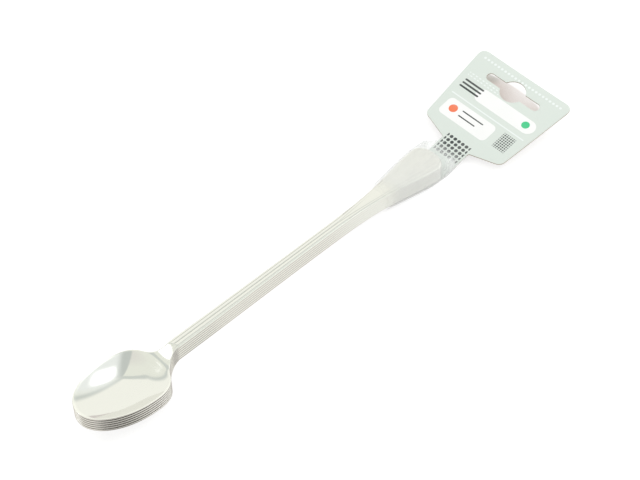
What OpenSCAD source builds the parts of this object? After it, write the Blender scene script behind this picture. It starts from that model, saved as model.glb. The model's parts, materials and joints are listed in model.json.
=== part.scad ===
// Six nested iced tea spoons in a clear shrink film sleeve with a card hang tag.
// X runs from the bowls to the tag, Z is up, and the origin is the middle of the footprint.

/* [Spoon] */
// Overall length of one spoon
spoon_l = 197; // [185:1:210]
// Width of the bowl
bowl_w = 27.7; // [25:0.1:30]
// Length of the bowl's outline
bowl_l = 39.9; // [37:0.1:43]
// Distance from the tip to the bowl's widest place
bowl_wide_x = 24.5; // [22:0.5:26]
// Depth of the bowl below its rim
bowl_depth = 5.2; // [4:0.1:7.5]
// Rise of the rim from the widest place to the tip
tip_rise = 4.2; // [3:0.1:5]
// Thickness of the metal, measured straight up
metal_t = 1.2; // [0.8:0.05:1.35]
// Length of the neck behind the bowl's outline
neck_l = 8.7; // [6:0.1:12]
// Height of the handle's top face over the table at the neck
neck_h = 7.8; // [6.5:0.1:9.5]
// Width of the handle at the neck
neck_w = 5.1; // [4.5:0.1:6.5]
// Width of the handle where it is narrowest
stem_w = 4.6; // [3.8:0.1:5.5]
// Height that the handle arches over a straight line
arch_h = 0.7; // [0:0.1:2]

/* [Handle end] */
// Length of the flare, up to the handle's tip
flare_l = 79; // [70:1:90]
// Length of the rounded end, up to the handle's tip
end_l = 5; // [3:0.5:9]
// Width of the flare
flare_w = 15.4; // [14:0.1:20]
// Drop of the handle's edges below its middle
crown = 0.25; // [0.1:0.05:0.5]
// Depth of the thread grooves
groove_d = 0.3; // [0.1:0.05:0.5]
// Distance from the top of the neck to the start of the grooves
groove_lead = 4; // [2:0.5:12]

/* [Stack] */
// Height from one spoon to the next
pitch = 1.4; // [1.38:0.01:1.8]

/* [Film] */
// Length of the handles that the film covers
film_l = 34; // [29:0.5:39]
// Wall of the film
film_t = 0.15; // [0.1:0.01:0.3]
// Gap between pieces that lie still against each other
fit_gap = 0.15; // [0.1:0.01:0.3]
// Room that the film leaves over the stack at its mouth
film_play = 1.2; // [1:0.1:2]
// Corner radius of the film inside
film_r = 0.3; // [0.2:0.05:0.4]

/* [Tag] */
// Thickness of the card
card_t = 0.5; // [0.3:0.05:0.7]
// Width of the tag's neck
tag_neck_w = 15; // [12:0.1:16]
// Distance from the film's mouth to the end of the tongue
tongue_lead = 2.5; // [2:0.1:5]
// Distance from the handles' tips to the line where the tag flexes
flex_gap = 14; // [11:0.5:18]
// Height of the flex line over the table
flex_h = 3.1; // [2.5:0.1:4]
// Upward tilt of the panel
tag_tilt = 9.5; // [5:0.5:15]
// Length of the panel from the flex line
tag_l = 47.5; // [44:0.5:60]
// Width of the panel at its far end
tag_far_w = 53.2; // [48:0.2:60]
// Width of the panel at its shoulders
tag_near_w = 44.4; // [40:0.2:47]
// Run of the sloping shoulders
shoulder_l = 4.5; // [3:0.1:7]
// Corner radius of the panel
tag_r = 4; // [1:0.1:5]

/* [Hang slot] */
// Length of the slot
slot_l = 30; // [26:0.5:34]
// Width of the slot at its ends
slot_w = 4.2; // [3.6:0.05:4.3]
// Diameter of the round hole at its middle
hole_d = 11.4; // [11.2:0.1:12]
// Distance from the slot's middle to the tag's far edge
slot_inset = 10; // [8:0.5:14]

/* [Hidden] */

// Number of spoons in the stack, one for each of the first nodes
spoon_count = 6;
// Exponents of the bowl's outline at its tip and at its neck
tip_round = 2.03;
neck_round = 2.85;
// Exponent of the flare, which stays slim for long and then opens quickly
flare_round = 4.9;
// Places of the top of the neck, the grooves, the flare, the rounded end and the film's mouth
neck_x = bowl_l + neck_l;
groove_x = neck_x + groove_lead;
flare_x = spoon_l - flare_l;
end_x = spoon_l - end_l;
film_x = spoon_l - film_l;
// Exponents of the bowl's depth: across, and along towards the neck
hollow_across = 2.2;
hollow_reach = 2.2;
hollow_along = 1.25;
// Outline of the shoulders between the bowl and the neck, as shares of the bowl's length
shoulder_share = 0.962;
shoulder_slope_share = 1.7;
// Start of the neck's rise, as a share of the bowl's length
rise_share = 0.965;
// Sections along the spine from the bowl's middle to the neck, and from there to the flare
bowl_station_shares = [0, 0.16, 0.31, 0.43, 0.52, 0.6, 0.68, 0.78, 0.89, 1];
stem_station_shares = [0.04, 0.1, 0.2, 0.32, 0.44, 0.55, 0.64, 0.71, 0.77, 0.82, 0.87, 0.91, 0.95,
                       0.98, 1];
// Start and end of the parting of the threads at the spine, as shares of the flare
parting_shares = [0.2, 0.6];
// Place where the tongue reaches its full width, as a share of the flare
tongue_share = 0.94;
// Lines that run along the spoon, as shares from its spine to its edge
bowl_line_shares = [0, 0.25, 0.45, 0.62, 0.78, 0.9, 1];
stem_line_shares = [0, 0.07, 0.14, 0.44, 0.62, 0.8, 1];
flare_line_shares = [0, 0.4, 0.56, 0.68, 0.8, 0.9, 1];
// Depth of the groove on each line, as a share of the full groove
stem_groove_shares = [1, 1, 1, 0, 1, 0, 0];
flare_groove_shares = [0, 0, 1, 0, 1, 0, 0];
end_steps = 8;
tip_steps = 12;
film_stations = 14;
corner_steps = 4;
round_fn = 96;
overrun = card_t;

function mix(a, b, t) = a + (b - a) * t;
function ease(t) = let (c = min(1, max(0, t))) c * c * (3 - 2 * c);
function hermite(a, b, slope_a, t) =
    a * (2 * pow(t, 3) - 3 * t * t + 1) + b * (3 * t * t - 2 * pow(t, 3))
    + slope_a * (pow(t, 3) - 2 * t * t + t);

// Half widths of the bowl, of the handle, and of both with their shoulder between
function bowl_half(x) =
    let (near = x < bowl_wide_x,
         reach = near ? bowl_wide_x : bowl_l - bowl_wide_x,
         r = min(1, abs(x - bowl_wide_x) / reach),
         n = near ? tip_round : neck_round)
    bowl_w / 2 * pow(1 - pow(r, n), 1 / n);
function stem_half(x) =
    let (narrow = mix(neck_w, stem_w, ease((x - neck_x) / (flare_x - neck_x))),
         t = min(1, max(0, x - flare_x) / (end_x - flare_x)))
    mix(narrow, flare_w, pow(t, flare_round) * (1 + flare_round * (1 - t))) / 2;
function half(x) =
    let (from = bowl_l * shoulder_share, run = neck_x - from)
    x < from ? bowl_half(x)
    : x > neck_x ? stem_half(x)
    : hermite(bowl_half(from), stem_half(neck_x), -shoulder_slope_share * run, (x - from) / run);

// Height of the bowl's rim, set so that the bottom of the lowest bowl lies on the table
function hollow(x) =
    let (r = min(1, max(0, x - bowl_wide_x) / (bowl_l - bowl_wide_x)))
    bowl_depth * pow(1 - pow(r, hollow_reach), hollow_along);
function rim_slope(x) = tip_rise * (bowl_wide_x - x) / bowl_wide_x;
bowl_stations = [for (s = bowl_station_shares) mix(bowl_wide_x, neck_x, s)];
rim_h = -min([for (x = bowl_stations) if (x < bowl_l) rim_slope(x) - hollow(x) - metal_t]);

// Height of the handle, whose end lies on the tongue and the film
end_h = film_t + 2 * fit_gap + card_t + crown + metal_t;
function handle_line(x) =
    let (u = max(0, (x - neck_x) / (spoon_l - neck_x)))
    mix(neck_h, end_h, u) + arch_h * 27 / 4 * u * u * (1 - u);
function line(x) =
    let (from = bowl_l * rise_share)
    mix(rim_h + rim_slope(x), handle_line(x), ease((x - from) / (neck_x - from)));

// Sections from the spine to the edge, once round the spoon
stations = concat(bowl_stations, [for (s = stem_station_shares) mix(neck_x, end_x, s)]);
last = len(stations) - 1;
function tip_edge(a) =
    [bowl_wide_x * (1 - pow(abs(cos(a)), 2 / tip_round)),
     bowl_w / 2 * sign(sin(a)) * pow(abs(sin(a)), 2 / tip_round)];
sections = concat(
    [for (i = [0 : last]) [i, [stations[i], half(stations[i])]]],
    [for (k = [1 : end_steps - 1]) let (a = 90 - 180 * k / end_steps)
        [last, [end_x + (spoon_l - end_x) * cos(a), flare_w / 2 * sin(a)]]],
    [for (i = [last : -1 : 0]) [i, [stations[i], -half(stations[i])]]],
    [for (k = [1 : tip_steps - 1]) [0, tip_edge(-90 - 180 * k / tip_steps)]]);
lines = len(bowl_line_shares);

function at_flare(x) =
    let (t = (x - flare_x) / (end_x - flare_x))
    ease((t - parting_shares[0]) / (parting_shares[1] - parting_shares[0]));
function line_share(x, j) =
    mix(mix(bowl_line_shares[j], stem_line_shares[j], ease((x - bowl_l) / (neck_x - bowl_l))),
        flare_line_shares[j], at_flare(x));
function groove(x, j) =
    groove_d * ease((x - groove_x) / neck_w)
    * mix(stem_groove_shares[j], flare_groove_shares[j], at_flare(x));
function shell_point(section, j, below) =
    let (x = stations[section[0]],
         s = line_share(x, j),
         p = mix([x, 0], section[1], s),
         on_handle = ease((x - bowl_l) / (neck_x - bowl_l)),
         top = line(p.x) - hollow(x) * (1 - pow(s, hollow_across)) - crown * on_handle * s * s)
    [p.x, p.y, below ? top - metal_t : top - groove(x, j)];

spine_n = last + 1;
side_n = spine_n + len(sections) * (lines - 1);
function id(k, j) =
    j == 0 ? sections[k % len(sections)][0]
    : spine_n + (k % len(sections)) * (lines - 1) + j - 1;
function side_points(below) = concat(
    [for (i = [0 : last]) shell_point([i, [stations[i], 0]], 0, below)],
    [for (s = sections) for (j = [1 : lines - 1]) shell_point(s, j, below)]);
function quad(a, b, c, d) = a == d ? [[a, b, c]] : [[a, b, c], [a, c, d]];
side_faces = [for (k = [0 : len(sections) - 1]) for (j = [0 : lines - 2])
    each quad(id(k, j), id(k, j + 1), id(k + 1, j + 1), id(k + 1, j))];
rim_faces = [for (k = [0 : len(sections) - 1])
    let (a = id(k, lines - 1), b = id(k + 1, lines - 1))
    each [[a, a + side_n, b + side_n], [a, b + side_n, b]]];

// Top of the tongue, a straight line under the handles, and its half width
function under(x) = line(x) - crown - metal_t;
function tongue_top(x) =
    mix(under(film_x), under(spoon_l), (x - film_x) / (spoon_l - film_x)) - fit_gap;
tongue_x = film_x + tongue_lead;
tongue_wide_x = mix(flare_x, end_x, tongue_share);
function tongue_half(x) =
    let (t = max(0, x - tongue_x) / (tongue_wide_x - tongue_x))
    mix(stem_half(tongue_x), tag_neck_w / 2, min(1, t));
flex_x = spoon_l + flex_gap;
stack_h = (spoon_count - 1) * pitch;
tag_end_x = flex_x + tag_l * cos(tag_tilt) + card_t / 2 * sin(tag_tilt);

// Inside of the film at a place along X: half width, floor and ceiling
film_end_x = flex_x - 3 * card_t;
function film_inside(x) =
    let (past = ease((x - spoon_l) / (film_end_x - spoon_l)),
         card_z = mix(tongue_top(spoon_l) - card_t / 2, flex_h, (x - spoon_l) / flex_gap),
         wide = max(x < end_x ? stem_half(x) : flare_w / 2, x < tongue_x ? 0 : tongue_half(x)),
         play = mix(film_play, fit_gap, min(1, (x - film_x) / (spoon_l - film_x))))
    x < spoon_l
    ? [wide + 2 * fit_gap, tongue_top(x) - card_t - fit_gap, line(x) + stack_h + play]
    : [mix(max(flare_w, tag_neck_w), tag_neck_w, past) / 2 + 2 * fit_gap,
       min(card_z, mix(card_z, flex_h, past)) - card_t / 2 - fit_gap,
       mix(end_h + stack_h + fit_gap, card_z + card_t / 2 + fit_gap, past)];
film_xs = concat(
    [for (i = [0 : film_stations]) mix(film_x, spoon_l, i / film_stations)],
    [for (i = [1 : film_stations / 2]) mix(spoon_l, film_end_x, i * 2 / film_stations)]);
function film_ring(x, wall) =
    let (f = film_inside(x), r = min(film_r, (f[2] - f[1]) / 2) + wall,
         y = f[0] + wall - r, low = f[1] - wall + r, high = f[2] + wall - r)
    [for (q = [0 : 3]) for (i = [0 : corner_steps])
        let (a = 90 * (q + i / corner_steps))
        [x, (q == 0 || q == 3 ? y : -y) + r * cos(a), (q < 2 ? high : low) + r * sin(a)]];
ring_n = 4 * (corner_steps + 1);

// Outline of the panel, with each corner rounded by a short curve
function unit(v) = v / norm(v);
function rounded(b, from, to, r) =
    let (u = unit(from - b), v = unit(to - b), d = r * norm(u + v) / norm(u - v),
         a = b + u * d, c = b + v * d)
    [for (i = [0 : corner_steps * 2]) let (t = i / corner_steps / 2)
        mix(mix(a, b, t), mix(b, c, t), t)];
tag_corners = [[0, tag_neck_w / 2], [shoulder_l, tag_near_w / 2], [tag_l, tag_far_w / 2],
               [tag_l, -tag_far_w / 2], [shoulder_l, -tag_near_w / 2], [0, -tag_neck_w / 2]];
tag_outline = concat([tag_corners[0]],
    [for (i = [1 : 4]) each rounded(tag_corners[i], tag_corners[i - 1], tag_corners[i + 1], tag_r)],
    [tag_corners[5]]);

module centred() {
    translate([-tag_end_x / 2, 0, 0]) children();
}

module spoon(k) {
    color("gainsboro")
        centred()
            translate([0, 0, (k - 1) * pitch])
                polyhedron(
                    points = concat(side_points(false), side_points(true)),
                    faces = concat(side_faces,
                        [for (f = side_faces) [f[2] + side_n, f[1] + side_n, f[0] + side_n]],
                        rim_faces));
}

module film_sleeve() {
    count = len(film_xs);
    outer = [for (x = film_xs) each film_ring(x, film_t)];
    inner = [for (x = film_xs) each film_ring(x, 0)];
    color("white", 0.35)
        centred()
            polyhedron(
                points = concat(outer, inner),
                faces = [for (i = [0 : ring_n - 1])
                    let (n = (i + 1) % ring_n, far = (count - 1) * ring_n, in = count * ring_n)
                    each concat(
                        [for (k = [0 : count - 2]) let (a = k * ring_n, b = a + ring_n)
                            each [[a + i, b + i, b + n], [a + i, b + n, a + n],
                                  [in + a + i, in + b + n, in + b + i],
                                  [in + a + i, in + a + n, in + b + n]]],
                        [[i, in + n, in + i], [i, n, in + n],
                         [far + i, far + in + i, far + in + n], [far + i, far + in + n, far + n]])]);
}

module tag_tongue() {
    stop = flex_x - card_t;
    rise = mix(tongue_top(spoon_l) - card_t / 2, flex_h, (stop - spoon_l) / flex_gap);
    side = [[tongue_x, tongue_top(tongue_x)], [spoon_l, tongue_top(spoon_l)], [stop, rise + card_t / 2],
            [stop, rise - card_t / 2], [spoon_l, tongue_top(spoon_l) - card_t],
            [tongue_x, tongue_top(tongue_x) - card_t]];
    edge = [for (x = [tongue_x, tongue_wide_x, stop]) [x, tongue_half(x)]];
    plan = concat(edge, [for (i = [len(edge) - 1 : -1 : 0]) [edge[i].x, -edge[i].y]]);
    color("gainsboro")
        centred()
            intersection() {
                rotate([90, 0, 0])
                    linear_extrude(height = tag_neck_w + overrun, center = true) polygon(side);
                linear_extrude(height = 2 * end_h + stack_h) polygon(plan);
            }
}

module tag_panel() {
    color("lightgray")
        centred()
            translate([flex_x, 0, flex_h])
                rotate([0, -tag_tilt, 0]) {
                    linear_extrude(height = card_t, center = true)
                        difference() {
                            polygon(tag_outline);
                            translate([tag_l - slot_inset, 0]) hang_slot();
                        }
                    rotate([90, 0, 0])
                        cylinder(h = tag_neck_w, d = card_t, center = true, $fn = round_fn);
                }
}

module hang_slot() {
    straight = slot_l - slot_w;
    circle(d = hole_d, $fn = round_fn);
    square([slot_w, straight], center = true);
    for (side = [-1, 1])
        translate([0, side * straight / 2]) circle(d = slot_w, $fn = round_fn);
}

for (k = [1 : spoon_count])
    spoon(k);
film_sleeve();
tag_tongue();
tag_panel();
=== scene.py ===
"""Six nested iced tea spoons in shrink film with a card hang tag, dressed for a studio picture."""
import json
import math

import bmesh
import bpy
import numpy as np
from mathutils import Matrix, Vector


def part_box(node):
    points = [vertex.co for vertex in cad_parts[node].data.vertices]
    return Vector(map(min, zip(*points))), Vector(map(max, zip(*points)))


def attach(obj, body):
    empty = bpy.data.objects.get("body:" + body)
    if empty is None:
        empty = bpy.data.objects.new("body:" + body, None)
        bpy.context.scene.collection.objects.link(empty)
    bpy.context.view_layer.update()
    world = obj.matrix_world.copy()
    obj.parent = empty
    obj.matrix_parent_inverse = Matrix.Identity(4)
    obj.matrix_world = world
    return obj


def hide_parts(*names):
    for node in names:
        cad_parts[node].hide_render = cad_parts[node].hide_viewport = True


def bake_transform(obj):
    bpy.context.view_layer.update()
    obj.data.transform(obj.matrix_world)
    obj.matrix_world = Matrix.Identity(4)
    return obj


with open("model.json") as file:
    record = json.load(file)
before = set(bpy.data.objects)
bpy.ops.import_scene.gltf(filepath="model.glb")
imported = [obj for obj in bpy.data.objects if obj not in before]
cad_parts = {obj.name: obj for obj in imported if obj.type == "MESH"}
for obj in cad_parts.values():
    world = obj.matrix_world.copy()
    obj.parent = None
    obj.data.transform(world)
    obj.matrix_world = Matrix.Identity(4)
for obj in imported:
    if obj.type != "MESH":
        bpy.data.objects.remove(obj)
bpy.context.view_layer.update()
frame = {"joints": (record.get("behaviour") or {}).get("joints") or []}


# Spoons
# Six identical spoons, pressed from stainless sheet and polished, nest in each other's bowls.
# Thread grooves start at the neck, part in the flare and close in loops round the rounded end.
mm = 0.001
spoon_bodies = ["held_end"] + ["lifted_spoon_%d" % k for k in range(2, 7)]
spoon_low, spoon_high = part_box("spoon_1")
tip_x = spoon_low.x / mm
spoon_l = (spoon_high.x - spoon_low.x) / mm
bowl_w = (spoon_high.y - spoon_low.y) / mm
pitch = (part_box("spoon_2")[0].z - spoon_low.z) / mm
metal_t = 1.2

bowl_l = 39.9
bowl_wide_x = 24.5
bowl_depth = 5.2
tip_rise = 4.2
tip_round = 2.03
neck_round = 2.85
hollow_across = 2.2
hollow_reach = 2.2
hollow_along = 1.25
shoulder_share = 0.962
shoulder_slope_share = 1.7
rise_share = 0.965

neck_x = bowl_l + 8.7
neck_h = 7.8
neck_w = 5.1
stem_w = 4.6
arch_h = 0.7
arch_peak_u = 2 / 3
flare_x = spoon_l - 79
end_x = spoon_l - 5
flare_w = 15.4
flare_round = 4.9
parting_start = 0.2
parting_end = 0.6
crown = 0.25
end_h = 2.4

# Where the threads run, as shares of the half width: in the bowl, at the neck and in the flare.
inner_thread = (0.3, 0.04, 0.56)
outer_thread = (0.64, 0.58, 0.80)
thread_x = neck_x - 3
thread_lead = 4.0
thread_d = 0.10
flare_thread_share = 0.45
thread_w = 0.12
thread_reach = 0.26
widest_reach_share = 0.12
rim_top_r = 0.62
rim_low_r = 0.5

bowl_line_points = 200
outline_step = 0.5
outline_past_neck = 6
handle_stations = 150
end_stations = 49
tip_stations = 91
rows_between_knots = (6, 9, 6, 9, 5)
rim_rows = 6
underside_rows = 15
same_point = 1e-7

steel_colour = (0.86, 0.855, 0.84, 1)
thread_colour = (0.64, 0.63, 0.60, 1)
thread_tint = 0.85
# Painted light: the rims' steel is paler than the rest, to brighten the stack's side band.
painted_light_rim_colour = (0.95, 0.945, 0.92, 1)
# Painted shade: the lower rounding of each rim in the bowls darkens, where the nested bowls shade
# the gaps.
gap_shade_colour = (0.36, 0.35, 0.33, 1)
least_rough = 0.055
most_rough = 0.095
line_rough = 0.05
rim_rough = 0.10
thread_rough = 0.12


def mix(a, b, t):
    return a + (b - a) * t


def ease(t):
    t = np.clip(t, 0, 1)
    return t * t * (3 - 2 * t)


def bowl_half(x):
    """Half the width of the bowl, a broad oval at its tip and a squarer one towards the neck."""
    before = x < bowl_wide_x
    reach = np.where(before, bowl_wide_x, bowl_l - bowl_wide_x)
    roundness = np.where(before, tip_round, neck_round)
    r = np.minimum(1, np.abs(x - bowl_wide_x) / reach)
    return bowl_w / 2 * (1 - r ** roundness) ** (1 / roundness)


def stem_half(x):
    """Half the width of the handle, from the neck through the slim stem to the flare."""
    narrow = mix(neck_w, stem_w, ease((x - neck_x) / (flare_x - neck_x)))
    t = np.clip((x - flare_x) / (end_x - flare_x), 0, 1)
    return mix(narrow, flare_w, t ** flare_round * (1 + flare_round * (1 - t))) / 2


def spoon_half(x):
    """Half the width of the spoon, with a hollow shoulder between the bowl and the neck."""
    start = bowl_l * shoulder_share
    run = neck_x - start
    t = np.clip((x - start) / run, 0, 1)
    shoulder = (bowl_half(np.array(start)) * (2 * t ** 3 - 3 * t ** 2 + 1)
                + stem_half(np.array(neck_x)) * (3 * t ** 2 - 2 * t ** 3)
                - shoulder_slope_share * run * (t ** 3 - 2 * t ** 2 + t))
    return np.where(x < start, bowl_half(x), np.where(x > neck_x, stem_half(x), shoulder))


def rim_slope(x):
    """How far the rim lies above its height at the widest place."""
    return tip_rise * (bowl_wide_x - x) / bowl_wide_x


def hollow(x):
    """Depth of the bowl's middle line under the rim."""
    r = np.clip((x - bowl_wide_x) / (bowl_l - bowl_wide_x), 0, 1)
    return bowl_depth * (1 - r ** hollow_reach) ** hollow_along


bowl_line = np.linspace(bowl_wide_x, bowl_l, bowl_line_points)
rim_h = -np.min(rim_slope(bowl_line) - hollow(bowl_line) - metal_t)


def spine_height(x):
    """Height of the middle line where nothing is hollowed: the rim's slope, then the handle."""
    u = np.maximum(0, (x - neck_x) / (spoon_l - neck_x))
    arch = u * u * (1 - u) / (arch_peak_u ** 2 * (1 - arch_peak_u))
    handle = mix(neck_h, end_h, u) + arch_h * arch
    start = bowl_l * rise_share
    return mix(rim_h + rim_slope(x), handle, ease((x - start) / (neck_x - start)))


def spoon_outline():
    """Stations on the spine and points on the edge, once round the spoon."""
    past_neck = neck_x + outline_past_neck
    side = np.concatenate([np.arange(bowl_wide_x, past_neck, outline_step),
                           np.linspace(past_neck, end_x, handle_stations)])
    end_a = np.linspace(math.pi / 2, -math.pi / 2, end_stations)[1:-1]
    tip_a = np.linspace(-math.pi / 2, -math.pi * 3 / 2, tip_stations)[1:-1]
    power = 2 / tip_round
    tip_edge = np.stack([bowl_wide_x * (1 - np.abs(np.cos(tip_a)) ** power),
                         bowl_w / 2 * np.sign(np.sin(tip_a)) * np.abs(np.sin(tip_a)) ** power], 1)
    end_edge = np.stack([end_x + (spoon_l - end_x) * np.cos(end_a),
                         flare_w / 2 * np.sin(end_a)], 1)
    left = np.stack([side, spoon_half(side)], 1)
    right = np.stack([side, -spoon_half(side)], 1)[::-1]
    stations = np.concatenate([side, np.full(len(end_a), end_x),
                               side[::-1], np.full(len(tip_a), side[0])])
    return stations, np.concatenate([left, end_edge, right, tip_edge])


def clean(mesh):
    """Merges doubled points, points all faces outwards and shades them smoothly."""
    work = bmesh.new()
    work.from_mesh(mesh)
    bmesh.ops.remove_doubles(work, verts=work.verts, dist=same_point)
    bmesh.ops.recalc_face_normals(work, faces=work.faces)
    for face in work.faces:
        face.smooth = True
    work.to_mesh(mesh)
    work.free()


def ring_mesh(name, points, around, columns):
    """A mesh of rings of points, each joined to the next, with its numbers for each point."""
    faces = [(r * around + k, r * around + (k + 1) % around,
              (r + 1) * around + (k + 1) % around, (r + 1) * around + k)
             for r in range(len(points) // around - 1) for k in range(around)]
    mesh = bpy.data.meshes.new(name)
    mesh.from_pydata(points, [], faces)
    for column, numbers in columns.items():
        values = mesh.attributes.new(column, "FLOAT", "POINT")
        values.data.foreach_set("value", np.array(numbers, np.float32))
    clean(mesh)
    return mesh


def spoon_mesh():
    """One spoon as a closed shell: top face, rounded rim and underside, row by row."""
    stations, edge = spoon_outline()
    spine = np.stack([stations, np.zeros(len(stations))], 1)
    length = np.linalg.norm(edge - spine, axis=1)
    nowhere = np.zeros(len(length))
    on_neck = ease((stations - bowl_l) / (neck_x - bowl_l))
    flared = (stations - flare_x) / (end_x - flare_x)
    at_flare = ease((flared - parting_start) / (parting_end - parting_start))
    inner, outer = (mix(mix(in_bowl, at_neck, on_neck), in_flare, at_flare)
                    for in_bowl, at_neck, in_flare in (inner_thread, outer_thread))
    reach = mix(widest_reach_share, np.minimum(thread_reach / length, widest_reach_share), on_neck)
    begun = ease((stations - thread_x) / thread_lead) * mix(1, flare_thread_share, at_flare)

    def top_row(share):
        """Top, share of a thread's depth and underside, at a share of the way to the edge."""
        flat = mix(spine, edge, share[:, None])
        thread = begun * (np.exp(-((share - inner) * length / thread_w) ** 2)
                          + np.exp(-((share - outer) * length / thread_w) ** 2))
        z = (spine_height(flat[:, 0]) - hollow(stations) * (1 - share ** hollow_across)
             - crown * on_neck * share ** 2)
        return (np.column_stack([flat, z - thread_d * thread]), thread,
                np.column_stack([flat, z - metal_t]))

    def rounded(start, corner, end, shaded):
        """Rows round a corner, marked 1 as rim, and up to that much more as painted shade from
        start to middle.
        """
        rows = []
        for t in np.linspace(0, 1, rim_rows):
            curve = (1 - t) ** 2 * start + 2 * t * (1 - t) * corner + t * t * end
            rows.append((curve, nowhere, 1 + ease(2 * t) * shaded))
        return rows

    last, low_last = 1 - rim_top_r / length, 1 - rim_low_r / length
    knots = [nowhere, np.maximum(inner - reach, 0), inner + reach,
             outer - reach, outer + reach, np.maximum(last, outer + reach)]
    rows = []
    for start, end, count in zip(knots, knots[1:], rows_between_knots):
        for t in np.linspace(0, 1, count, endpoint=False):
            points, thread, _ = top_row(mix(start, end, t))
            rows.append((points, thread, nowhere))
    corner, _, low_corner = top_row(np.ones(len(length)))
    up = np.array([0, 0, 1])
    rows += rounded(top_row(last)[0], corner, corner - up * rim_top_r, nowhere)
    # The lower rounding carries painted shade in the bowls, fading out towards the neck.
    rows += rounded(low_corner + up * rim_low_r, low_corner, top_row(low_last)[2], 1 - on_neck)
    for t in np.linspace(1, 0, underside_rows)[1:]:
        rows.append((top_row(low_last * t)[2], nowhere, nowhere))

    points, thread, rim = (np.concatenate(column) for column in zip(*rows))
    points = (points + np.array([tip_x, 0, 0])) * mm
    return ring_mesh("spoon", points.tolist(), len(length), {"thread": thread, "rim": rim})


def feed(tree, socket, value):
    """Links a socket to another node's output, or sets it to a number, colour or vector."""
    if isinstance(value, bpy.types.NodeSocket):
        tree.links.new(value, socket)
    else:
        socket.default_value = value


def new_node(tree, kind, *values, **settings):
    """A node with its settings, such as an operation, whose inputs are fed in order."""
    node = tree.nodes.new(kind)
    for name, setting in settings.items():
        setattr(node, name, setting)
    for socket, value in zip(node.inputs, values):
        feed(tree, socket, value)
    return node


def calculate(tree, operation, *values):
    """A Math node fed by sockets and numbers. Gives its output."""
    return new_node(tree, "ShaderNodeMath", *values, operation=operation).outputs[0]


def combine(tree, operation, *values):
    """A Vector Math node fed by sockets and vectors. Gives its output."""
    node = new_node(tree, "ShaderNodeVectorMath", *values, operation=operation)
    return node.outputs["Value" if operation in ("LENGTH", "DOT_PRODUCT") else "Vector"]


def scale_vector(tree, vector, factor):
    """A vector times a number, which is a value or a socket."""
    node = new_node(tree, "ShaderNodeVectorMath", vector, operation="SCALE")
    feed(tree, node.inputs["Scale"], factor)
    return node.outputs["Vector"]


def smooth_step(tree, value, low, high, to_low=0.0, to_high=1.0):
    """Runs smoothly from to_low to to_high while value goes from low to high."""
    node = new_node(tree, "ShaderNodeMapRange", value, low, high, to_low, to_high,
                    interpolation_type="SMOOTHSTEP")
    return node.outputs["Result"]


def blend_colours(tree, amount, first, second):
    """Mixes two colours, each a value or a socket. Gives the output."""
    node = new_node(tree, "ShaderNodeMix", amount, data_type="RGBA")
    colours = [socket for socket in node.inputs if socket.type == "RGBA"]
    for socket, value in zip(colours, (first, second)):
        feed(tree, socket, value)
    return next(socket for socket in node.outputs if socket.type == "RGBA")


def new_group(name, inputs, outputs):
    """An empty shader node group with named sockets, and its two end nodes."""
    tree = bpy.data.node_groups.new(name, "ShaderNodeTree")
    for way, sockets in (("INPUT", inputs), ("OUTPUT", outputs)):
        for socket, kind in sockets.items():
            tree.interface.new_socket(socket, in_out=way, socket_type="NodeSocket" + kind)
    return tree, tree.nodes.new("NodeGroupInput"), tree.nodes.new("NodeGroupOutput")


def place_group(tree, group, **values):
    """Places a group in a material. Values are numbers, colours or sockets, by input name."""
    node = tree.nodes.new("ShaderNodeGroup")
    node.node_tree = group
    for name, value in values.items():
        feed(tree, node.inputs[name.replace("_", " ")], value)
    return node


def new_finish(name):
    """A material with one Principled shader. Gives the material, its tree and the shader."""
    material = bpy.data.materials.new(name)
    material.use_nodes = True
    return material, material.node_tree, material.node_tree.nodes["Principled BSDF"]


def feed_all(tree, node, values):
    """Feeds a node's inputs by name."""
    for name, value in values.items():
        feed(tree, node.inputs[name], value)


def relief(tree, height, strength, depth):
    """A faint bump, as many millimetres deep as depth says. Gives its normal."""
    bump = new_node(tree, "ShaderNodeBump")
    feed_all(tree, bump, {"Strength": strength, "Distance": depth * mm, "Height": height})
    return bump.outputs["Normal"]


def patina_group():
    """Uneven handling marks: a broad cloud and a finer grain, both stretched along X."""
    tree, start, end = new_group(
        "patina", {"Point": "Vector", "Stretch": "Float", "Scale": "Float"},
        {"Cloud": "Float", "Grain": "Float"})
    stretch = new_node(tree, "ShaderNodeCombineXYZ", start.outputs["Stretch"], 1, 1).outputs[0]
    along = combine(tree, "MULTIPLY", start.outputs["Point"], stretch)
    for output, share, detail in (("Cloud", 0.05, 2), ("Grain", 1.0, 3)):
        scale = calculate(tree, "MULTIPLY", start.outputs["Scale"], share)
        noise = new_node(tree, "ShaderNodeTexNoise")
        feed_all(tree, noise, {"Vector": along, "Scale": scale, "Detail": detail})
        feed(tree, end.inputs[output], noise.outputs["Fac"])
    return tree


patina = patina_group()


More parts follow.
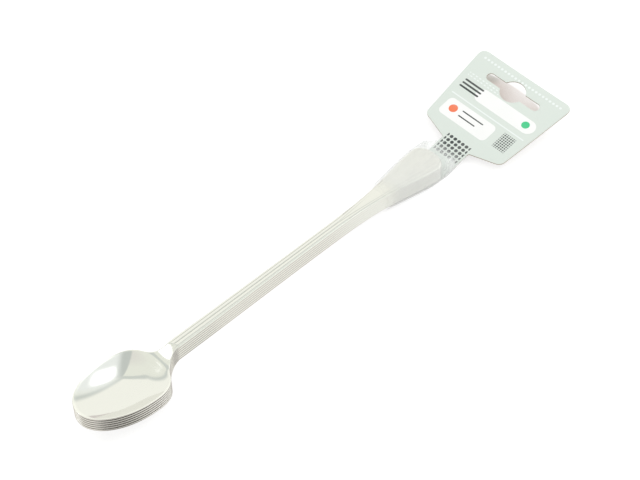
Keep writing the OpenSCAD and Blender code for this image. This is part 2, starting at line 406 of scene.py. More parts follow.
def polished_steel():
    """Bright steel with faint polishing lines and duller threads, rims painted paler as light, and
    painted shade on the rims in the bowls' gaps.
    """
    material, tree, shader = new_finish("polished_steel")
    place = new_node(tree, "ShaderNodeTexCoord").outputs["Object"]
    marks = place_group(tree, patina, Point=place, Stretch=0.08, Scale=2600.0).outputs
    thread, rim = (new_node(tree, "ShaderNodeAttribute", attribute_name=name).outputs["Fac"]
                   for name in ("thread", "rim"))
    in_thread = smooth_step(tree, thread, 0.15, 1.0, 0.0, thread_tint)
    colour = blend_colours(tree, in_thread, steel_colour, thread_colour)
    # Painted light: the rims take the paler steel colour.
    colour = blend_colours(tree, rim, colour, painted_light_rim_colour)
    # Painted shade on the lower rounding of the rims, where the nested bowls meet.
    colour = blend_colours(tree, smooth_step(tree, rim, 1.0, 2.0), colour, gap_shade_colour)
    cloud = smooth_step(tree, marks["Cloud"], 0.35, 0.65, least_rough, most_rough)
    lines = smooth_step(tree, marks["Grain"], 0.45, 0.75, 0.0, line_rough)
    worn = calculate(tree, "MULTIPLY", rim, rim_rough)
    dull = calculate(tree, "MULTIPLY", thread, thread_rough)
    rough = calculate(tree, "ADD", calculate(tree, "ADD", cloud, lines),
                      calculate(tree, "ADD", worn, dull))
    feed_all(tree, shader, {
        "Base Color": colour, "Metallic": 1.0, "Roughness": rough,
        "Normal": relief(tree, marks["Grain"], strength=0.04, depth=0.02)})
    return material


def geometry_tree(name, inputs):
    """An empty Geometry Nodes tree with a geometry in and out and those named inputs."""
    tree = bpy.data.node_groups.new(name, "GeometryNodeTree")
    for socket, kind in {"Geometry": "Geometry", **inputs}.items():
        tree.interface.new_socket(socket, in_out="INPUT", socket_type="NodeSocket" + kind)
    tree.interface.new_socket("Geometry", in_out="OUTPUT", socket_type="NodeSocketGeometry")
    return tree, tree.nodes.new("NodeGroupInput"), tree.nodes.new("NodeGroupOutput")


def close_tree(tree, start, end, geometry):
    """Ends a tree in Realize Instances and Set Material."""
    real = new_node(tree, "GeometryNodeRealizeInstances", geometry)
    coloured = new_node(tree, "GeometryNodeSetMaterial", real.outputs["Geometry"])
    feed(tree, coloured.inputs["Material"], start.outputs["Material"])
    feed(tree, end.inputs["Geometry"], coloured.outputs["Geometry"])


def stack_tree():
    """Lifts a spoon to its level in the stack."""
    tree, start, end = geometry_tree(
        "stack", {"Level": "Int", "Pitch": "Float", "Material": "Material"})
    height = calculate(tree, "MULTIPLY", start.outputs["Level"], start.outputs["Pitch"])
    offset = new_node(tree, "ShaderNodeCombineXYZ", 0, 0, height).outputs[0]
    move = new_node(tree, "GeometryNodeTransform", start.outputs["Geometry"])
    feed(tree, move.inputs["Translation"], offset)
    close_tree(tree, start, end, move.outputs["Geometry"])
    return tree


def new_object(name, data):
    """An object with that data, linked to the scene."""
    made = bpy.data.objects.new(name, data)
    bpy.context.scene.collection.objects.link(made)
    return made


def plain_mesh(holder):
    """An object's evaluated shape as a plain mesh. The object itself is removed."""
    view = bpy.context.evaluated_depsgraph_get()
    mesh = bpy.data.meshes.new_from_object(holder.evaluated_get(view))
    bpy.data.objects.remove(holder)
    return mesh


def grown(name, mesh, tree, values, extra=None):
    """Runs a Geometry Nodes tree on a mesh, its inputs set by identifier, and bakes the result."""
    holder = new_object("holder", mesh)
    nodes = holder.modifiers.new("nodes", "NODES")
    nodes.node_group = tree
    for item in tree.interface.items_tree:
        if item.in_out == "INPUT" and item.name in values:
            nodes[item.identifier] = values[item.name]
    if extra:
        extra(holder)
    return new_object(name, plain_mesh(holder))


steel = polished_steel()
one_spoon = spoon_mesh()
stack = stack_tree()
for level, body in enumerate(spoon_bodies):
    values = {"Level": level, "Pitch": pitch * mm, "Material": steel}
    spoon = grown("spoon_%d_dressed" % (level + 1), one_spoon, stack, values)
    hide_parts("spoon_%d" % (level + 1))
    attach(spoon, body)


# Film
# A sleeve of clear shrink film holds the six flared ends together and grips the tag's neck.
# Heat has drawn it tight, so it follows the stack, steps down past the tips and creases there.
film_low, film_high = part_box("film_sleeve")
flex_x, flex_h = [frame["joints"][0]["pos_m"][i] / mm for i in (0, 2)]
flex_x -= tip_x
film_x = film_low.x / mm - tip_x
film_end_x = film_high.x / mm - tip_x
film_t = 0.15
fit_gap = 0.15
film_play = 1.2
film_r = 0.45
card_t = 0.5
tag_neck_w = 15.0
tongue_x = film_x + 2.5
tongue_wide_x = mix(flare_x, end_x, 0.94)
stack_h = (len(spoon_bodies) - 1) * pitch

film_split_x = spoon_l - 1
sleeve_stations = 76
closing_stations = 34
closing_inset = 0.1
corner_points = 5
flat_steps = 22
side_steps = 8
mouth_wave = 0.45
mouth_lobes = 5
mouth_turn = 1.3
mouth_middle_h = 5
mouth_run = 3

# Slack film creases: everywhere a little, more at the step past the tips and at the mouth.
slack_share = 0.35
slack_at_step = 0.65
slack_at_mouth = 0.25
slack_step_x = spoon_l + 3
slack_step_run = 4.5
slack_mouth_run = 4
slack_up_side = 2.5
crease_h = 0.15
crease_seed = 4.7
creases_along = 90.0
creases_across = 420.0

# Milk is the haze where film clings to steel and where it bunches up past the tips; at the bunch's
# sides it is raised further as painted sheen.
cling_milk = 0.5
cling_x = film_x + 1
cling_run = 8
cling_end_x = spoon_l + 1
cling_end_run = 2
bunch_milk = 0.5
# Painted sheen: at its sides past the tips the film is whiter still, for the bright reflection
# there.
bunch_side_milk_and_sheen = 1.2
bunch_x = spoon_l + 2.2
bunch_run = 2.4
bunch_side_y = 5.5
bunch_side_run = 2

film_colour = (0.97, 0.98, 0.975, 1)
film_rough = 0.12
film_ior = 1.6
clear_alpha = 0.02
least_milk_alpha = 0.24
most_milk_alpha = 0.36
streak_alpha = 0.12
edge_alpha = 0.26


def under_handle(x):
    """Height of the lowest handle's edge, on its underside."""
    return spine_height(np.asarray(x, float)) - crown - metal_t


def tongue_top(x):
    """Top of the card tongue, a straight line just under the lowest handle."""
    t = (x - film_x) / (spoon_l - film_x)
    return mix(under_handle(film_x), under_handle(spoon_l), t) - fit_gap


def tongue_half(x):
    """Half the width of the tongue, which widens evenly under the flare."""
    t = np.clip((x - tongue_x) / (tongue_wide_x - tongue_x), 0, 1)
    return mix(float(stem_half(np.array(tongue_x))), tag_neck_w / 2, float(t))


def film_section(x):
    """Half width, floor and ceiling of the film's middle surface at one place along it."""
    past = float(ease((x - spoon_l) / (film_end_x - spoon_l)))
    wall = film_t / 2
    if x < spoon_l:
        play = mix(film_play, fit_gap, min(1, (x - film_x) / (spoon_l - film_x)))
        wide = max(float(stem_half(np.array(x))), tongue_half(x) if x > tongue_x else 0)
        return (wide + 2 * fit_gap + wall, tongue_top(x) - card_t - fit_gap - wall,
                float(spine_height(np.array(x))) + stack_h + play + wall)
    card_z = mix(tongue_top(spoon_l) - card_t / 2, flex_h, (x - spoon_l) / (flex_x - spoon_l))
    half_card = card_t / 2 + fit_gap + wall
    return (mix(flare_w, tag_neck_w, past) / 2 + 2 * fit_gap + wall, card_z - half_card,
            mix(end_h + stack_h + fit_gap + wall, card_z + half_card, past))


def bump_at(x, middle, run):
    """1 at the middle, and falling softly to both sides over that run."""
    return math.exp(-((x - middle) / run) ** 2)


def film_ring(x):
    """Points once round the film at x, each with how slack the film is there."""
    half, low, high = film_section(x)
    r = min(film_r, (high - low) / 2)
    points = []
    sides = [(half - r, high - r, 0, flat_steps), (-half + r, high - r, 90, side_steps),
             (-half + r, low + r, 180, flat_steps), (half - r, low + r, 270, side_steps)]
    for i, (cy, cz, start, steps) in enumerate(sides):
        next_y, next_z = sides[(i + 1) % 4][:2]
        for a in np.radians(np.linspace(start, start + 90, corner_points)):
            points.append((cy + r * math.cos(a), cz + r * math.sin(a)))
        from_y, from_z = points[-1]
        turn = math.radians(start + 90)
        to_y, to_z = next_y + r * math.cos(turn), next_z + r * math.sin(turn)
        for t in np.linspace(0, 1, steps + 1)[1:-1]:
            points.append((mix(from_y, to_y, t), mix(from_z, to_z, t)))
    loose = (slack_share + slack_at_step * bump_at(x, slack_step_x, slack_step_run)
             + slack_at_mouth * bump_at(x, film_x, slack_mouth_run))
    return points, [loose * ease((z - low) / (high - low) * slack_up_side) for _, z in points]


def film_sheet():
    """The film's middle surface as one open tube, with a slightly wavy mouth."""
    stations = np.concatenate([
        np.linspace(film_x + mouth_wave, film_split_x, sleeve_stations),
        np.linspace(film_split_x, film_end_x - closing_inset, closing_stations)[1:]])
    points, slack, milk = [], [], []
    for x in stations:
        ring, loose = film_ring(x)
        near_mouth = bump_at(x, film_x, mouth_run)
        clinging = float(ease((x - cling_x) / cling_run) * ease((cling_end_x - x) / cling_end_run))
        bunched = bump_at(x, bunch_x, bunch_run)
        for y, z in ring:
            lobes = math.sin(mouth_lobes * math.atan2(z - mouth_middle_h, y) + mouth_turn)
            wave = mouth_wave * near_mouth * lobes
            points.append(((x + wave + tip_x) * mm, y * mm, z * mm))
            # Past the tips the film is milky where it bunches, and milkier at its sides as painted
            # sheen.
            at_side = float(ease((abs(y) - bunch_side_y) / bunch_side_run))
            milk.append(cling_milk * clinging + bunched * mix(bunch_milk, bunch_side_milk_and_sheen, at_side))
        slack += loose
    return ring_mesh("film", points, len(ring), {"slack": slack, "milk": milk})


def crease_tree():
    """Lifts slack film outwards along its normals in long soft creases."""
    tree, start, end = geometry_tree("shrink_creases", {
        "Height": "Float", "Seed": "Float", "Along": "Float", "Across": "Float",
        "Material": "Material"})
    given = start.outputs
    place = tree.nodes.new("GeometryNodeInputPosition").outputs[0]
    normal = tree.nodes.new("GeometryNodeInputNormal").outputs[0]
    stretch = new_node(tree, "ShaderNodeCombineXYZ",
                       given["Along"], given["Across"], given["Across"]).outputs[0]
    noise = new_node(tree, "ShaderNodeTexNoise", noise_dimensions="4D")
    feed_all(tree, noise, {"Vector": combine(tree, "MULTIPLY", place, stretch),
                           "W": given["Seed"], "Scale": 1.0, "Detail": 2.5})
    slack = new_node(tree, "GeometryNodeInputNamedAttribute", "slack", data_type="FLOAT")
    folds = smooth_step(tree, noise.outputs["Fac"], 0.42, 0.68)
    lift = calculate(tree, "MULTIPLY", folds, slack.outputs["Attribute"])
    lift = calculate(tree, "MULTIPLY", lift, given["Height"])
    move = new_node(tree, "GeometryNodeSetPosition", given["Geometry"])
    feed(tree, move.inputs["Offset"], scale_vector(tree, normal, lift))
    close_tree(tree, start, end, move.outputs["Geometry"])
    return tree


def shrink_film():
    """Clear film: milkier where it turns away, where it clings to steel and where it bunches up,
    most at the bunch's sides as painted sheen.
    """
    material, tree, shader = new_finish("shrink_film")
    place = new_node(tree, "ShaderNodeTexCoord").outputs["Object"]
    marks = place_group(tree, patina, Point=place, Stretch=0.2, Scale=900.0).outputs
    facing = new_node(tree, "ShaderNodeLayerWeight", 0.35).outputs["Facing"]
    edge = smooth_step(tree, facing, 0.2, 1.0, 0.0, edge_alpha)
    milk = new_node(tree, "ShaderNodeAttribute", attribute_name="milk").outputs["Fac"]
    cloud = smooth_step(tree, marks["Cloud"], 0.35, 0.7, least_milk_alpha, most_milk_alpha)
    streaks = smooth_step(tree, marks["Grain"], 0.5, 0.8, 0.0, streak_alpha)
    haze = calculate(tree, "MULTIPLY_ADD", milk, cloud, clear_alpha)
    alpha = calculate(tree, "ADD", calculate(tree, "ADD", edge, haze),
                      calculate(tree, "MULTIPLY", milk, streaks))
    feed_all(tree, shader, {"Base Color": film_colour, "Roughness": film_rough, "IOR": film_ior,
                            "Alpha": alpha})
    return material


def give_wall(holder):
    """Thickens the film's middle surface evenly to both sides."""
    wall = holder.modifiers.new("wall", "SOLIDIFY")
    wall.thickness = film_t * mm
    wall.offset = 0
    wall.use_even_offset = True


film_values = {"Height": crease_h * mm, "Seed": crease_seed, "Along": creases_along,
               "Across": creases_across, "Material": shrink_film()}
film = grown("film_dressed", film_sheet(), crease_tree(), film_values, give_wall)
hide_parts("film_sleeve")
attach(film, "held_end")


# Hang tag
# One piece of coated card: a tongue in the film, a neck that flexes, and a panel with a hang slot.
# It is printed in plain shapes, cut with a die that leaves tan edges, and bare on the back.
tag_tilt = math.radians(9.5)
tag_l = 47.5
tag_far_w = 53.2
tag_near_w = 44.4
shoulder_l = 4.5
tag_r = 4.0
neck_r = 1.2
tongue_end_r = 0.8
tongue_wide_r = 6.0
tongue_end_inset = 0.3
slot_half_l = 15.0
slot_half_w = 2.1
slot_swell = 3
hole_r = 5.7
slot_u = tag_l - 10
bend_half_l = 1.2
press_r = 0.05
curl_h = 0.35

bend_points = 9
corner_steps = 8
slot_end_points = 9
slot_side_points = 73
# Cuts across the card and along it, from, to and every so many millimetres: closer at the flex.
tongue_cuts = (-44, -16, 4)
panel_cuts = ((-12, -4, 2), (-4, 6, 0.5), (6, 47, 3))
long_cuts = (-24, 25, 3)
same_cut = 1e-4
level_share = 0.9
map_scale = 100.0

ground_colour = (0.726, 0.788, 0.733, 1)
ground_cloud = (0.80, 0.80, 0.77, 1)
white_ink = (0.97, 0.97, 0.96, 1)
dark_ink = (0.045, 0.055, 0.055, 1)
green_ink = (0.02, 0.60, 0.24, 1)
orange_ink = (0.93, 0.20, 0.08, 1)
pale_ink = (0.88, 0.93, 0.91, 1)
ink_blur = 0.06
dot_blur = 0.05
# The board's own colour and the darker one of its fibres: back, cut edge, and edge in the film,
# which is painted paler for the film's haze and sheen over it.
card_back = ((0.52, 0.44, 0.36, 1), (0.45, 0.37, 0.29, 1))
card_core = ((0.46, 0.38, 0.29, 1), (0.36, 0.28, 0.20, 1))
edge_painted_pale_in_film = ((0.72, 0.71, 0.66, 1), (0.64, 0.63, 0.58, 1))
printed_face, bare_face, cut_face, filmed_cut_face = range(4)

# The print, in the order in which it is laid down. Each shape has its middle, half sizes and
# corner radius on the flat card. Where it is filled with dots, their spacing and radius follow.
artwork = (
    ((27.3, -4.5, 3.7, 16.8, 3.7), None, white_ink),
    ((13.6, 5.6, 4.9, 13.6, 2.4), None, white_ink),
    ((43.6, 0, 1.0, 23.0, 0.1), (2.0, 0.62), pale_ink),
    ((33.0, 13.0, 1.0, 9.0, 0.1), (2.0, 0.62), pale_ink),
    ((20.6, 0, 0.3, 21.0, 0.3), None, pale_ink),
    ((-2.2, 0, 5.5, 6.6, 0.1), (2.2, 0.84), dark_ink),
    ((14.3, -15.4, 4.4, 3.3, 0.1), (1.1, 0.40), dark_ink),
    ((27.6, 15.5, 0.48, 5.5, 0.48), None, dark_ink),
    ((29.6, 15.5, 0.48, 5.5, 0.48), None, dark_ink),
    ((25.6, 15.5, 0.48, 5.5, 0.48), None, dark_ink),
    ((14.0, 14.2, 2.1, 2.1, 2.1), None, orange_ink),
    ((27.5, -16.2, 1.9, 1.9, 1.9), None, green_ink),
    ((15.6, 4.0, 0.32, 6.0, 0.32), None, dark_ink),
    ((12.6, 5.2, 0.32, 4.8, 0.32), None, dark_ink))


def tag_path():
    """The card's middle line in the XZ plane, bent softly at the handles' tips."""
    tip = np.array([spoon_l, tongue_top(spoon_l) - card_t / 2])
    start = np.array([tongue_x, tongue_top(tongue_x) - card_t / 2])
    flex = np.array([flex_x, flex_h])
    far = flex + tag_l * np.array([math.cos(tag_tilt), math.sin(tag_tilt)])
    into = (tip - start) / np.linalg.norm(tip - start)
    out = (flex - tip) / np.linalg.norm(flex - tip)
    bend = [(1 - t) ** 2 * (tip - bend_half_l * into) + 2 * t * (1 - t) * tip
            + t * t * (tip + bend_half_l * out) for t in np.linspace(0, 1, bend_points)]
    line = np.array([start] + bend + [flex, far])
    steps = np.linalg.norm(np.diff(line, axis=0), axis=1)
    gone = np.concatenate([[0], np.cumsum(steps)])
    return gone - gone[-2], line


path_u, path_line = tag_path()


def soft_corner(corner, before, after, r):
    """Points of a short curve that rounds one corner of an outline."""
    corner, before, after = np.array(corner), np.array(before), np.array(after)
    u = (before - corner) / np.linalg.norm(before - corner)
    v = (after - corner) / np.linalg.norm(after - corner)
    d = r * np.linalg.norm(u + v) / np.linalg.norm(u - v)
    a, c = corner + u * d, corner + v * d
    return [mix(mix(a, corner, t), mix(corner, c, t), t)
            for t in np.linspace(0, 1, corner_steps + 1)]


def tag_outline():
    """Outline of the flat card, from the tongue's end round the panel and back."""
    neck = tag_neck_w / 2
    u_start = float(path_u[0])
    u_wide = u_start + tongue_wide_x - tongue_x
    tongue_end = float(stem_half(np.array(tongue_x))) - tongue_end_inset
    right = [((u_start, tongue_end), tongue_end_r), ((u_wide, neck), tongue_wide_r),
             ((0, neck), neck_r), ((shoulder_l, tag_near_w / 2), tag_r),
             ((tag_l, tag_far_w / 2), tag_r)]
    corners = right + [((u, -v), r) for (u, v), r in reversed(right)]
    points = []
    for i, (corner, r) in enumerate(corners):
        before, after = corners[i - 1][0], corners[(i + 1) % len(corners)][0]
        points += soft_corner(corner, before, after, r)
    return points


def slot_outline():
    """Outline of the hang slot, which swells softly into a round hole at its middle."""
    turn = 1 - np.cos(np.linspace(0, math.pi / 2, slot_end_points))
    straight_l = slot_half_l - slot_half_w
    v = np.concatenate([slot_half_l - slot_half_w * turn,
                        np.linspace(straight_l, -straight_l, slot_side_points)[1:-1],
                        -slot_half_l + slot_half_w * turn[::-1]])
    past_end = np.clip((np.abs(v) - straight_l) / slot_half_w, 0, 1)
    straight = slot_half_w * np.sqrt(1 - past_end ** 2)
    hole = np.sqrt(np.maximum(0, hole_r ** 2 - v ** 2))
    half = (straight ** slot_swell + hole ** slot_swell) ** (1 / slot_swell)
    far_side = np.stack([slot_u + half, v], 1)
    near_side = np.stack([slot_u - half, v], 1)[::-1][1:-1]
    return np.concatenate([far_side, near_side])


def flat_card():
    """The card as cut, lying flat: a filled outline with a slot, as thick as the card."""
    curve = bpy.data.curves.new("card", "CURVE")
    curve.dimensions = "2D"
    curve.fill_mode = "BOTH"
    curve.extrude = card_t / 2 - press_r
    curve.bevel_depth = press_r
    curve.offset = -press_r
    curve.bevel_resolution = 1
    for outline in (tag_outline(), slot_outline()):
        spline = curve.splines.new("POLY")
        spline.points.add(len(outline) - 1)
        for point, (u, v) in zip(spline.points, outline):
            point.co = (u, v, 0, 1)
        spline.use_cyclic_u = True
    return plain_mesh(new_object("holder", curve))


def bend_card(mesh):
    """Cuts the flat card into strips, keeps its flat place as a map and lays it along the path."""
    work = bmesh.new()
    work.from_mesh(mesh)
    bmesh.ops.remove_doubles(work, verts=work.verts, dist=same_cut)
    near_tips = path_u[1:-2]
    cuts_u = np.concatenate([np.arange(*tongue_cuts), near_tips]
                            + [np.arange(*run) for run in panel_cuts])
    cuts = ([((u, 0, 0), (1, 0, 0)) for u in cuts_u]
            + [((0, v, 0), (0, 1, 0)) for v in np.arange(*long_cuts)])
    for place, normal in cuts:
        everything = work.verts[:] + work.edges[:] + work.faces[:]
        bmesh.ops.bisect_plane(work, geom=everything, plane_co=place, plane_no=normal,
                               dist=same_cut)
    bmesh.ops.triangulate(work, faces=work.faces)
    bmesh.ops.recalc_face_normals(work, faces=work.faces)
    flat = work.loops.layers.uv.new("card")
    for face in work.faces:
        level = abs(face.normal.z) > level_share
        in_film = face.calc_center_median().x < film_end_x - flex_x
        if level:
            face.material_index = printed_face if face.normal.z > 0 else bare_face
        else:
            face.material_index = filmed_cut_face if in_film else cut_face
        face.smooth = level
        for loop in face.loops:
            loop[flat].uv = (loop.vert.co.x / map_scale, loop.vert.co.y / map_scale)
    for vert in work.verts:
        u, v, w = vert.co
        k = min(max(int(np.searchsorted(path_u, u)) - 1, 0), len(path_u) - 2)
        ahead = path_line[k + 1] - path_line[k]
        ahead = ahead / np.linalg.norm(ahead)
        x, z = path_line[k] + ahead * (u - path_u[k])
        up = w + curl_h * (v / tag_far_w * 2) ** 2 * float(ease(u / tag_l)) ** 2
        vert.co = ((x + tip_x - ahead[1] * up) * mm, v * mm, (z + ahead[0] * up) * mm)
    work.to_mesh(mesh)
    work.free()
    return mesh


def distance(tree, x, y):
    """How far a point lies from the middle, from its two coordinates."""
    squares = [calculate(tree, "MULTIPLY", value, value) for value in (x, y)]
    return calculate(tree, "SQRT", calculate(tree, "ADD", *squares))


def plate_group():
    """A printed shape: 1 inside a rounded box round a centre, in millimetres on the flat card."""
    tree, start, end = new_group("printed_plate", {
        "Place": "Vector", "Centre": "Vector", "Half size": "Vector", "Radius": "Float"},
        {"Ink": "Float"})
    radius = start.outputs["Radius"]
    away = combine(tree, "SUBTRACT", start.outputs["Place"], start.outputs["Centre"])
    over = combine(tree, "SUBTRACT", combine(tree, "ABSOLUTE", away), start.outputs["Half size"])
    parts = new_node(tree, "ShaderNodeSeparateXYZ", over).outputs
    beyond = [calculate(tree, "MAXIMUM", calculate(tree, "ADD", parts[axis], radius), 0.0)
              for axis in ("X", "Y")]
    past = calculate(tree, "SUBTRACT", distance(tree, *beyond), radius)
    feed(tree, end.inputs["Ink"], smooth_step(tree, past, -ink_blur, ink_blur, 1.0, 0.0))
    return tree


def printed_card():
    """The coated front: a pale ground with white fields, rows of dots, bars and two discs."""
    material, tree, shader = new_finish("printed_card")
    flat = new_node(tree, "ShaderNodeUVMap", uv_map="card").outputs["UV"]
    place = scale_vector(tree, flat, map_scale)
    plate = plate_group()

    def shape(u, v, half_u, half_v, r):
        node = place_group(tree, plate, Place=place, Centre=(u, v, 0),
                           Half_size=(half_u, half_v, 0), Radius=r)
        return node.outputs["Ink"]

    def dots(spacing, size, region):
        half = spacing / 2
        cell = combine(tree, "WRAP", place, (half, half, half), (-half, -half, -half))
        parts = new_node(tree, "ShaderNodeSeparateXYZ", cell).outputs
        away = distance(tree, parts["X"], parts["Y"])
        dot = smooth_step(tree, away, size - dot_blur, size + dot_blur, 1.0, 0.0)
        return calculate(tree, "MULTIPLY", dot, region)

    colour = ground_colour
    for sizes, grid, ink in artwork:
        region = shape(*sizes)
        inked = dots(*grid, region) if grid else region
        colour = blend_colours(tree, inked, colour, ink)
    marks = place_group(tree, patina, Point=place, Stretch=1.0, Scale=2.2).outputs
    shade = smooth_step(tree, marks["Cloud"], 0.3, 0.7, 0.0, 0.10)
    colour = blend_colours(tree, shade, colour, ground_cloud)
    feed_all(tree, shader, {
        "Base Color": colour, "Specular IOR Level": 0.4,
        "Roughness": smooth_step(tree, marks["Grain"], 0.3, 0.7, 0.30, 0.42),
        "Normal": relief(tree, marks["Grain"], strength=0.10, depth=0.03)})
    return material


def bare_card(name, tones, scale):
    """Uncoated board with a fibrous grain, for the back and for the cut edges."""
    material, tree, shader = new_finish(name)
    place = new_node(tree, "ShaderNodeTexCoord").outputs["Object"]
    marks = place_group(tree, patina, Point=place, Stretch=0.6, Scale=scale).outputs
    fibres = smooth_step(tree, marks["Grain"], 0.35, 0.7)
    feed_all(tree, shader, {
        "Base Color": blend_colours(tree, fibres, *tones), "Roughness": 0.85,
        "Normal": relief(tree, marks["Grain"], strength=0.2, depth=0.05)})
    return material


card_mesh = bend_card(flat_card())
for finish in (printed_card(), bare_card("bare_card", card_back, 1800.0),
               bare_card("cut_edge", card_core, 5000.0),
               bare_card("edge_in_film", edge_painted_pale_in_film, 5000.0)):
    card_mesh.materials.append(finish)
card = new_object("tag_dressed", card_mesh)
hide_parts("tag_tongue", "tag_panel")
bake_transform(card)


# View
# The camera looks down on the stack from in front, along its length from the bowls to the tag.
# Its direction, distance and lens are those at which the outlines fall where the picture has them.
view_azimuth = math.radians(-44.66)
view_elevation = math.radians(51.02)
view_distance = 0.700
view_target = Vector((0.00422, 0.00556, 0))
focal_pixels = 1669.6
sensor_width = 36
picture_width = 640


def aim(thing, target, toward, away):
    """Sets a camera or lamp that far from a target, in that direction, and points it there."""
    thing.location = target + toward * away
    thing.rotation_mode = "QUATERNION"
    thing.rotation_quaternion = (-toward).to_track_quat("-Z", "Y")


toward_camera = Vector((math.sin(view_azimuth) * math.cos(view_elevation),
                        -math.cos(view_azimuth) * math.cos(view_elevation),
                        math.sin(view_elevation)))
camera_data = bpy.data.cameras.new("camera")
camera_data.sensor_width = sensor_width
camera_data.lens = focal_pixels * sensor_width / picture_width
camera_data.clip_start = 0.01
camera_data.clip_end = 20
camera = new_object("camera", camera_data)
aim(camera, view_target, toward_camera, view_distance)
bpy.context.scene.camera = camera
bpy.context.scene.view_settings.view_transform = "Standard"


# Table and room
# A pale table in an even light, with a soft lamp on the right and a smaller one on the left.
# The steel mirrors a cream back wall, a pale ceiling with a shaded part, a near wall with a dark
# thing low in front, a lamp on the right and a window on the left, and a painted reflection of the
# table with painted shade and light on it.
floor_size = 6.0
floor_colour = (0.80, 0.80, 0.80, 1)
seen_floor = (0.42, 0.42, 0.42, 1)
floor_glow = 0.72
room_colour = (0.99, 1.0, 0.99, 1)
room_light = 0.86
white = (1, 1, 1, 1)

# A spot of the table is its middle, its half sizes and how many times as large the oval is at
# which it has faded out. Away from this one, the table is plain white.
near_floor = (0, 0, 0.35, 0.35, 2.3)

# Painted shadow in the table's glow: tan where the card covers the table within the first spot,
# seen through the slot, and near black in the second spot, at the slot's end.
cover_reach = 0.022
least_sky = 0.4
painted_shadow_colour = (0.44, 0.35, 0.30, 1)
darkest_painted_shadow = (0.12, 0.10, 0.04, 1)
slot_x = (slot_u + flex_x + tip_x + 4) * mm
slot_shadow_spot = (slot_x, 0.0055, 0.0047, 0.0165, 1.4)
slot_darkest_spot = (slot_x + 0.0035, 0.0197, 0.002, 0.0025, 3.0)

# Painted reflection: how the table looks in the steel, darker than it shows the camera, with spots
# of painted shade laid over it in order, before the bowls, along the handle's near side and by the
# neck, and last a paler spot by the flared ends.
painted_table_in_steel = (0.71, 0.67, 0.63, 1)
painted_spots_in_steel = (
    ((-0.119, -0.019, 0.007, 0.005, 3.0), (0.30, 0.28, 0.26, 1)),
    ((-0.025, -0.0118, 0.055, 0.0026, 2.2), (0.58, 0.54, 0.515, 1)),
    ((-0.068, -0.0125, 0.009, 0.004, 2.2), (0.38, 0.36, 0.34, 1)),
    ((0.06, -0.015, 0.025, 0.015, 2.5), (0.88, 0.88, 0.85, 1)))

# How the room looks in the steel: its ceiling, and panels laid over it in order. A panel is its
# azimuth and elevation in degrees, its half width and half height at unit distance, and softness.
ceiling_colour = (0.90, 0.925, 0.825, 1)
lamp_colour = (2.2, 2.2, 2.2, 1)
near_wall = ((-135, 55, 0.7, 0.58, 0.5), (0.80, 0.785, 0.735, 1))
dark_front = ((-103, 14, 0.42, 0.35, 0.2), (0.22, 0.22, 0.21, 1))
ceiling_shade = ((-68, 62, 0.66, 0.277, 0.06), (0.61, 0.65, 0.61, 1))
wall_edge = ((52, 0, 1.25, 2.9, 0.35), (0.68, 0.72, 0.67, 1))
back_wall = ((52, 0, 0.92, 2.05, 0.30), (1.02, 1.03, 0.94, 1))
lamp_halo = ((-30, 38, 0.45, 0.32, 0.35), (0.95, 0.99, 0.95, 1))
lamp_panel = ((-22, 43, 0.155, 0.13, 0.18), lamp_colour)
window_panel = ((138, 43, 0.25, 0.16, 0.06), lamp_colour)
room_panels = (near_wall, dark_front, ceiling_shade, wall_edge, back_wall, lamp_halo, lamp_panel,
               window_panel)


def seen_rays(tree):
    """1 for camera, glossy and transmission rays, and then 1 for all of these but glossy ones."""
    path = tree.nodes.new("ShaderNodeLightPath").outputs
    direct = calculate(tree, "MAXIMUM", path["Is Camera Ray"], path["Is Transmission Ray"])
    return calculate(tree, "MAXIMUM", direct, path["Is Glossy Ray"]), direct


def mix_shaders(tree, amount, first, second):
    return new_node(tree, "ShaderNodeMixShader", amount, first, second).outputs[0]


def glowing(tree, colour, strength):
    return new_node(tree, "ShaderNodeEmission", colour, strength).outputs[0]


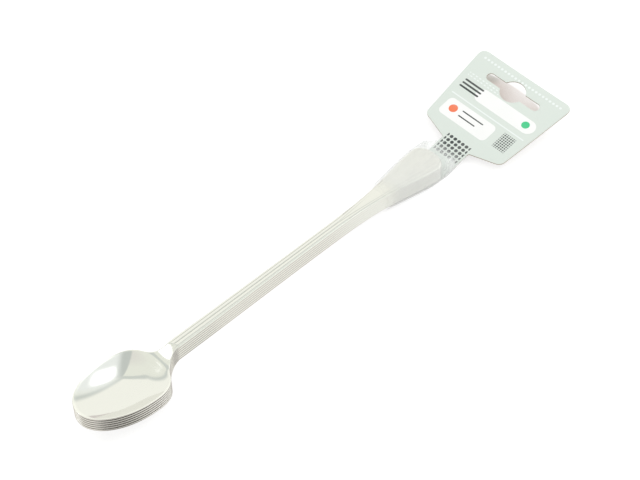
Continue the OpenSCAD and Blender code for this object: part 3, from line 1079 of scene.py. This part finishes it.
def table():
    """A large flat table, white from far off, that glows a little for the camera alone, with
    painted shadow in that glow under the card and a painted reflection of itself for the steel.
    """
    material = bpy.data.materials.new("table")
    material.use_nodes = True
    tree = material.node_tree
    tree.nodes.clear()
    place = new_node(tree, "ShaderNodeTexCoord").outputs["Object"]

    def from_spot(x, y, half_x, half_y, fade):
        """0 on an oval spot of the table, and 1 from an oval that many times as large outwards."""
        scaled = combine(tree, "MULTIPLY_ADD", place, (1 / half_x, 1 / half_y, 0),
                         (-x / half_x, -y / half_y, 0))
        return smooth_step(tree, combine(tree, "LENGTH", scaled), 1.0, fade)

    seen, direct = seen_rays(tree)
    plain = new_node(tree, "ShaderNodeBsdfDiffuse",
                     blend_colours(tree, direct, floor_colour, seen_floor)).outputs[0]
    sky = new_node(tree, "ShaderNodeAmbientOcclusion", samples=16)
    feed(tree, sky.inputs["Distance"], cover_reach)
    # Painted shadow: the glow takes the shadow colours where the card covers the table, only within
    # the spot seen through the slot.
    open_share = calculate(tree, "MAXIMUM", smooth_step(tree, sky.outputs["AO"], least_sky, 1.0),
                           from_spot(*slot_shadow_spot))
    painted_shadow_under_card = blend_colours(tree, from_spot(*slot_darkest_spot), darkest_painted_shadow, painted_shadow_colour)
    glow = glowing(tree, blend_colours(tree, open_share, painted_shadow_under_card, white),
                   calculate(tree, "MULTIPLY", direct, floor_glow))
    lit = new_node(tree, "ShaderNodeAddShader", plain, glow).outputs[0]
    far = calculate(tree, "MULTIPLY", direct, from_spot(*near_floor))
    seen_table = mix_shaders(tree, far, lit, glowing(tree, white, 1.0))
    # Painted reflection of the table for the steel, with painted shade and light spots.
    shown = painted_table_in_steel
    for spot, colour in painted_spots_in_steel:
        shown = blend_colours(tree, from_spot(*spot), colour, shown)
    in_steel = glowing(tree, shown, 1.0)
    mixed = mix_shaders(tree, calculate(tree, "SUBTRACT", seen, direct), seen_table, in_steel)
    new_node(tree, "ShaderNodeOutputMaterial", mixed)
    mesh = bpy.data.meshes.new("table")
    h = floor_size / 2
    mesh.from_pydata([(-h, -h, 0), (h, -h, 0), (h, h, 0), (-h, h, 0)], [], [(0, 1, 2, 3)])
    mesh.materials.append(material)
    top = new_object("table", mesh)


def panel_group():
    """A flat panel in a direction: 1 where a ray meets it, with soft edges."""
    tree, start, end = new_group("room_panel", {
        "Ray": "Vector", "Ahead": "Vector", "Across": "Vector", "Up": "Vector",
        "Half width": "Float", "Half height": "Float", "Softness": "Float"}, {"Panel": "Float"})
    ahead, across, up = (combine(tree, "DOT_PRODUCT", start.outputs["Ray"], start.outputs[name])
                         for name in ("Ahead", "Across", "Up"))
    reach = calculate(tree, "MAXIMUM", ahead, 0.001)
    masks = []
    for part, size in ((across, "Half width"), (up, "Half height")):
        away = calculate(tree, "DIVIDE", calculate(tree, "ABSOLUTE", part), reach)
        inside = calculate(tree, "SUBTRACT", start.outputs[size], away)
        share = calculate(tree, "DIVIDE", inside, start.outputs["Softness"])
        masks.append(smooth_step(tree, share, -0.5, 0.5))
    in_front = calculate(tree, "GREATER_THAN", ahead, 0.0)
    panel = calculate(tree, "MULTIPLY", calculate(tree, "MULTIPLY", *masks), in_front)
    feed(tree, end.inputs["Panel"], panel)
    return tree


def direction(azimuth, elevation):
    """The way to a place in the room, from its azimuth and elevation in degrees."""
    a, e = math.radians(azimuth), math.radians(elevation)
    return Vector((math.cos(a) * math.cos(e), math.sin(a) * math.cos(e), math.sin(e)))


def room():
    """Even light from all sides, and for the steel to mirror, a ceiling, walls and lamps."""
    world = bpy.data.worlds.new("room")
    world.use_nodes = True
    bpy.context.scene.world = world
    tree = world.node_tree
    tree.nodes.clear()
    ray = new_node(tree, "ShaderNodeTexCoord").outputs["Generated"]
    group = panel_group()
    shown = ceiling_colour
    for (azimuth, elevation, half_width, half_height, softness), colour in room_panels:
        ahead, across = direction(azimuth, elevation), direction(azimuth + 90, 0)
        panel = place_group(tree, group, Ray=ray, Ahead=ahead, Across=across,
                            Up=ahead.cross(across), Half_width=half_width,
                            Half_height=half_height, Softness=softness)
        shown = blend_colours(tree, panel.outputs["Panel"], shown, colour)
    seen, direct = seen_rays(tree)
    shown = blend_colours(tree, direct, shown, white)
    lit = new_node(tree, "ShaderNodeBackground", room_colour, room_light).outputs[0]
    mirrored = new_node(tree, "ShaderNodeBackground", shown).outputs[0]
    new_node(tree, "ShaderNodeOutputWorld", mix_shaders(tree, seen, lit, mirrored))


def soft_lamp(name, azimuth, elevation, away, width, height, power):
    """A rectangular lamp that faces the stack from that direction."""
    data = bpy.data.lights.new(name, "AREA")
    data.shape = "RECTANGLE"
    data.size = width
    data.size_y = height
    data.energy = power
    lamp = new_object(name, data)
    lamp.visible_glossy = False
    aim(lamp, Vector((0, 0, 0)), direction(azimuth, elevation), away)


table()
room()
soft_lamp("right_lamp", azimuth=-27, elevation=42, away=0.95, width=0.42, height=0.26, power=1.8)
soft_lamp("left_lamp", azimuth=130, elevation=46, away=0.95, width=0.30, height=0.22, power=0.7)
